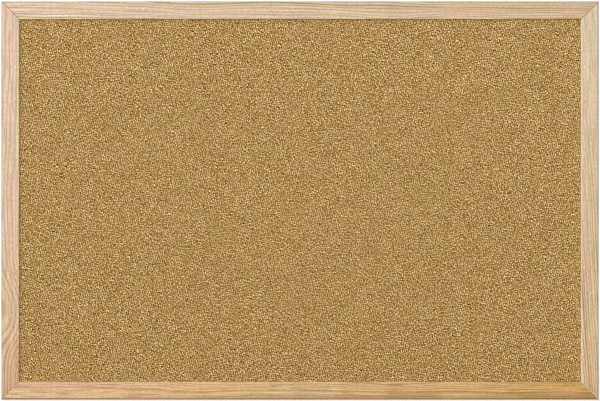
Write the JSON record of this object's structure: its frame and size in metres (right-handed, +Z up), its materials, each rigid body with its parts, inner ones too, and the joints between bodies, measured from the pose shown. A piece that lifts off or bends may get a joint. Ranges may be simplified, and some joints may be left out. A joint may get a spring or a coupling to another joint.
{
  "type": "pin board",
  "caption": "Cork pin board in a mitred pine frame that grooves round the panel, hung on a wall by swinging D-rings in folded straps, with bumpers behind its lower edge.",
  "frame": {"origin": "on the wall plane, straight behind the middle of the board", "axes": "+X to the right as the board is looked at, +Y into the wall, +Z up; the cork faces -Y"},
  "size_m": [0.6, 0.0201, 0.4],
  "materials": {
    "pine": "clear satin lacquer",
    "golden_pine": "clear satin lacquer",
    "cork": "matt granular",
    "softboard": "matt fibrous",
    "hardboard": "smooth matt",
    "zinc_plated_steel": "bright zinc",
    "rubber": "matt moulded"
  },
  "bodies": {
    "board": {"top_rail": "pine", "bottom_rail": "golden_pine", "left_stile": "pine", "right_stile": "pine", "cork_sheet": "cork", "softboard_core": "softboard", "hardboard_back": "hardboard", "bottom_left_outer_v_nail": "zinc_plated_steel", "bottom_left_inner_v_nail": "zinc_plated_steel", "top_left_outer_v_nail": "zinc_plated_steel", "top_left_inner_v_nail": "zinc_plated_steel", "top_right_outer_v_nail": "zinc_plated_steel", "top_right_inner_v_nail": "zinc_plated_steel", "bottom_right_outer_v_nail": "zinc_plated_steel", "bottom_right_inner_v_nail": "zinc_plated_steel", "left_hanger_strap": "zinc_plated_steel", "right_hanger_strap": "zinc_plated_steel", "left_upper_hanger_screw": "zinc_plated_steel", "left_lower_hanger_screw": "zinc_plated_steel", "right_upper_hanger_screw": "zinc_plated_steel", "right_lower_hanger_screw": "zinc_plated_steel", "left_bumper": "rubber", "right_bumper": "rubber"},
    "left_ring": {"left_d_ring": "zinc_plated_steel"},
    "right_ring": {"right_d_ring": "zinc_plated_steel"}
  },
  "joints": [
    {"name": "left_ring_swing", "type": "hinge", "parent": "board", "child": "left_ring", "pos_m": [-0.2918, -0.0028, 0.14], "axis": [1, 0, 0], "range_deg": [0, 175]},
    {"name": "right_ring_swing", "type": "hinge", "parent": "board", "child": "right_ring", "pos_m": [0.2918, -0.0028, 0.14], "axis": [1, 0, 0], "range_deg": [0, 175]}
  ]
}
